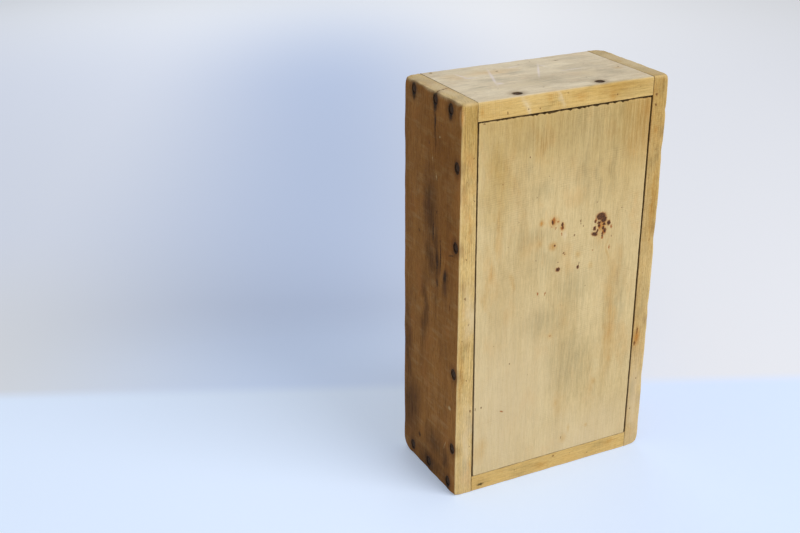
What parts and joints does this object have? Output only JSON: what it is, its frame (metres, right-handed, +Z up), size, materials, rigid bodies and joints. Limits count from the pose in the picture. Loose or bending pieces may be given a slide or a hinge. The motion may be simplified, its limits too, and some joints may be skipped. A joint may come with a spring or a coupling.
{
  "type": "candle box",
  "caption": "Shallow nailed wooden box for candles, with an inset bottom and a flush lid that turns on wire pins.",
  "frame": {"origin": "middle of the lower end's face, on which the box stands", "axes": "+Z up the box's length, +X to the right across its width, +Y from the nailed bottom to the lid"},
  "size_m": [0.1664, 0.0824, 0.3],
  "materials": {
    "side_wood": "bare, worn and darkened",
    "end_wood": "bare, worn and grey",
    "bottom_wood": "bare, stained",
    "lid_wood": "bare, worn",
    "stop_wood": "bare, sawn",
    "nail_iron": "dark and rusted",
    "pin_wire": "dark, worn bright"
  },
  "bodies": {
    "box": {"left_side_board": "side_wood", "right_side_board": "side_wood", "upper_end_board": "end_wood", "lower_end_board": "end_wood", "bottom_panel": "bottom_wood", "upper_lid_stop": "stop_wood", "lower_lid_stop": "stop_wood", "left_upper_corner_nails": "nail_iron", "left_lower_corner_nails": "nail_iron", "right_upper_corner_nails": "nail_iron", "right_lower_corner_nails": "nail_iron", "left_bottom_nails": "nail_iron", "right_bottom_nails": "nail_iron", "upper_bottom_nails": "nail_iron", "lower_bottom_nails": "nail_iron", "upper_stop_brads": "nail_iron", "lower_stop_brads": "nail_iron", "upper_lid_pin": "pin_wire", "lower_lid_pin": "pin_wire"},
    "lid": {"lid_board": "lid_wood"}
  },
  "joints": [
    {"name": "lid_hinge", "type": "hinge", "parent": "box", "child": "lid", "pos_m": [-0.0644, 0.0371, 0.15], "axis": [0, 0, 1], "range_deg": [0, 96]}
  ]
}
